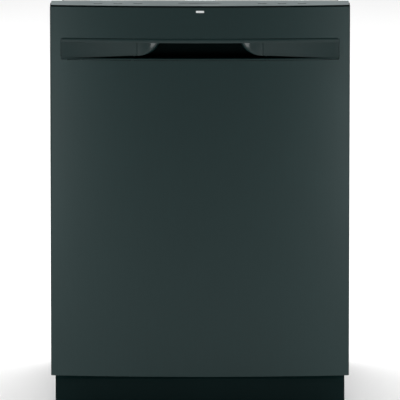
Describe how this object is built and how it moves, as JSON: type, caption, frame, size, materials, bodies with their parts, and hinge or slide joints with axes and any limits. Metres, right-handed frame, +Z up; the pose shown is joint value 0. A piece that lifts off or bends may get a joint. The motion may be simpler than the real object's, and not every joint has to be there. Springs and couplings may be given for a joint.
{
  "type": "built-in dishwasher",
  "caption": "Built-in dishwasher with a bowed slate door, wide pocket handle, top controls, steel tub, sliding racks, spray arms and levelling legs.",
  "frame": {"origin": "on the floor, under the middle of the machine's outer box", "axes": "+Z up, the door faces -Y, +X to the right of someone facing the door"},
  "size_m": [0.603, 0.61, 0.85],
  "materials": {
    "stainless": "satin, fine horizontal brushing",
    "galvanised": "zinc-plated, dull",
    "slate_steel": "satin slate lacquer over brushed steel",
    "handle_plastic": "satin moulded plastic, slate",
    "console_finish": "satin light grey",
    "black_plastic": "fine moulded grain",
    "grey_plastic": "moulded polypropylene",
    "white_plastic": "smooth",
    "light_window": "clear white window",
    "dark_glass": "dark gloss",
    "toe_paint": "satin near-black",
    "rubber": "soft matt",
    "felt": "needled insulation felt",
    "rack_coat": "nylon coating on steel wire",
    "board_green": "coated circuit board"
  },
  "bodies": {
    "cabinet": {"tub": "stainless", "tub_gasket": "rubber", "insulation_blanket": "felt", "base_frame": "black_plastic", "toe_kick": "toe_paint", "sump": "grey_plastic", "circulation_pump": "black_plastic", "drain_pump": "black_plastic", "inlet_valve": "white_plastic", "junction_box": "galvanised", "heating_element": "stainless", "filter_plate": "stainless", "spray_conduit": "grey_plastic", "top_sprinkler": "grey_plastic", "door_strike": "galvanised", "rack_rail_left": "stainless", "counter_bracket_left": "galvanised", "hinge_bracket_left": "galvanised", "door_spring_left": "galvanised", "rack_rail_right": "stainless", "counter_bracket_right": "galvanised", "hinge_bracket_right": "galvanised", "door_spring_right": "galvanised"},
    "door": {"door_outer_panel": "slate_steel", "pocket_handle": "handle_plastic", "door_inner_liner": "stainless", "control_console": "console_finish", "status_light": "light_window", "display_window": "dark_glass", "detergent_dispenser": "grey_plastic", "lower_door_seal": "rubber", "control_board": "board_green", "hinge_arm_left": "galvanised", "hinge_arm_right": "galvanised"},
    "button_1_body": {"button_1": "console_finish"},
    "button_2_body": {"button_2": "console_finish"},
    "button_3_body": {"button_3": "console_finish"},
    "button_4_body": {"button_4": "console_finish"},
    "button_5_body": {"button_5": "console_finish"},
    "button_6_body": {"button_6": "console_finish"},
    "latch": {"latch_hook": "galvanised"},
    "detergent_lid_body": {"detergent_lid": "grey_plastic"},
    "rinse_cap": {"rinse_aid_cap": "black_plastic"},
    "filter": {"filter_cylinder": "grey_plastic"},
    "float_body": {"float": "grey_plastic"},
    "lower_arm": {"lower_spray_arm": "grey_plastic"},
    "upper_rack_body": {"upper_rack": "rack_coat"},
    "upper_arm": {"upper_spray_arm": "grey_plastic"},
    "shelf": {"cup_shelf": "rack_coat"},
    "lower_rack_body": {"lower_rack": "rack_coat", "silverware_basket": "grey_plastic"},
    "tines": {"fold_down_tines": "rack_coat"},
    "rack_wheel_front_left_body": {"rack_wheel_front_left": "grey_plastic"},
    "rack_wheel_front_right_body": {"rack_wheel_front_right": "grey_plastic"},
    "rack_wheel_rear_left_body": {"rack_wheel_rear_left": "grey_plastic"},
    "rack_wheel_rear_right_body": {"rack_wheel_rear_right": "grey_plastic"},
    "levelling_leg_front_left_body": {"levelling_leg_front_left": "grey_plastic"},
    "levelling_leg_front_right_body": {"levelling_leg_front_right": "grey_plastic"},
    "levelling_leg_rear_left_body": {"levelling_leg_rear_left": "grey_plastic"},
    "levelling_leg_rear_right_body": {"levelling_leg_rear_right": "grey_plastic"}
  },
  "joints": [
    {"name": "door_hinge", "type": "hinge", "parent": "cabinet", "child": "door", "pos_m": [0, -0.265, 0.105], "axis": [1, 0, 0], "range_deg": [0, 90], "stiffness_Nm_per_rad": 20, "springref_deg": -14.32},
    {"name": "button_1_press", "type": "slide", "parent": "door", "child": "button_1_body", "axis": [0, 0, -1], "range_m": [0, 0.0012], "stiffness_N_per_m": 800},
    {"name": "button_2_press", "type": "slide", "parent": "door", "child": "button_2_body", "axis": [0, 0, -1], "range_m": [0, 0.0012], "stiffness_N_per_m": 800},
    {"name": "button_3_press", "type": "slide", "parent": "door", "child": "button_3_body", "axis": [0, 0, -1], "range_m": [0, 0.0012], "stiffness_N_per_m": 800},
    {"name": "button_4_press", "type": "slide", "parent": "door", "child": "button_4_body", "axis": [0, 0, -1], "range_m": [0, 0.0012], "stiffness_N_per_m": 800},
    {"name": "button_5_press", "type": "slide", "parent": "door", "child": "button_5_body", "axis": [0, 0, -1], "range_m": [0, 0.0012], "stiffness_N_per_m": 800},
    {"name": "button_6_press", "type": "slide", "parent": "door", "child": "button_6_body", "axis": [0, 0, -1], "range_m": [0, 0.0012], "stiffness_N_per_m": 800},
    {"name": "latch_pivot", "type": "hinge", "parent": "door", "child": "latch", "pos_m": [0, -0.253, 0.837], "axis": [-1, 0, 0], "range_deg": [0, 8], "stiffness_Nm_per_rad": 0.05, "springref_deg": -17.19},
    {"name": "detergent_lid_slide", "type": "slide", "parent": "door", "child": "detergent_lid_body", "axis": [0, 0, 1], "range_m": [0, 0.06]},
    {"name": "rinse_cap_twist", "type": "hinge", "parent": "door", "child": "rinse_cap", "pos_m": [0.058, -0.229, 0.52], "axis": [0, 1, 0], "range_deg": [0, 90]},
    {"name": "filter_twist", "type": "hinge", "parent": "cabinet", "child": "filter", "pos_m": [0, -0.012, 0.14], "axis": [0, 0, 1], "range_deg": [0, 90]},
    {"name": "float_lift", "type": "slide", "parent": "cabinet", "child": "float_body", "axis": [0, 0, 1], "range_m": [0, 0.012]},
    {"name": "lower_arm_spin", "type": "hinge", "parent": "cabinet", "child": "lower_arm", "pos_m": [0, 0.025, 0.16], "axis": [0, 0, 1], "continuous": true},
    {"name": "upper_rack_slide", "type": "slide", "parent": "cabinet", "child": "upper_rack_body", "axis": [0, -1, 0], "range_m": [0, 0.45]},
    {"name": "upper_arm_spin", "type": "hinge", "parent": "upper_rack_body", "child": "upper_arm", "pos_m": [0, 0.025, 0.46], "axis": [0, 0, 1], "continuous": true},
    {"name": "cup_shelf_fold", "type": "hinge", "parent": "upper_rack_body", "child": "shelf", "pos_m": [-0.232, 0.0265, 0.568], "axis": [0, -1, 0], "range_deg": [0, 85]},
    {"name": "lower_rack_slide", "type": "slide", "parent": "cabinet", "child": "lower_rack_body", "axis": [0, -1, 0], "range_m": [0, 0.185]},
    {"name": "tines_fold", "type": "hinge", "parent": "lower_rack_body", "child": "tines", "pos_m": [-0.06, 0.025, 0.204], "axis": [0, -1, 0], "range_deg": [0, 85]},
    {"name": "rack_wheel_front_left_roll", "type": "hinge", "parent": "lower_rack_body", "child": "rack_wheel_front_left_body", "pos_m": [-0.26, -0.1, 0.1565], "axis": [1, 0, 0], "continuous": true},
    {"name": "rack_wheel_front_right_roll", "type": "hinge", "parent": "lower_rack_body", "child": "rack_wheel_front_right_body", "pos_m": [0.26, -0.1, 0.1565], "axis": [1, 0, 0], "continuous": true},
    {"name": "rack_wheel_rear_left_roll", "type": "hinge", "parent": "lower_rack_body", "child": "rack_wheel_rear_left_body", "pos_m": [-0.26, 0.2, 0.1565], "axis": [1, 0, 0], "continuous": true},
    {"name": "rack_wheel_rear_right_roll", "type": "hinge", "parent": "lower_rack_body", "child": "rack_wheel_rear_right_body", "pos_m": [0.26, 0.2, 0.1565], "axis": [1, 0, 0], "continuous": true},
    {"name": "levelling_leg_front_left_screw", "type": "hinge", "parent": "cabinet", "child": "levelling_leg_front_left_body", "pos_m": [-0.2555, -0.15, 0.03], "axis": [0, 0, 1], "continuous": true},
    {"name": "levelling_leg_front_right_screw", "type": "hinge", "parent": "cabinet", "child": "levelling_leg_front_right_body", "pos_m": [0.2555, -0.15, 0.03], "axis": [0, 0, 1], "continuous": true},
    {"name": "levelling_leg_rear_left_screw", "type": "hinge", "parent": "cabinet", "child": "levelling_leg_rear_left_body", "pos_m": [-0.2555, 0.26, 0.03], "axis": [0, 0, 1], "continuous": true},
    {"name": "levelling_leg_rear_right_screw", "type": "hinge", "parent": "cabinet", "child": "levelling_leg_rear_right_body", "pos_m": [0.2555, 0.26, 0.03], "axis": [0, 0, 1], "continuous": true}
  ],
  "couplings": [
    {"joint": "upper_rack_slide", "follows": "door_hinge", "m_per_rad": 0.2864},
    {"joint": "lower_rack_slide", "follows": "door_hinge", "m_per_rad": 0.1177}
  ]
}
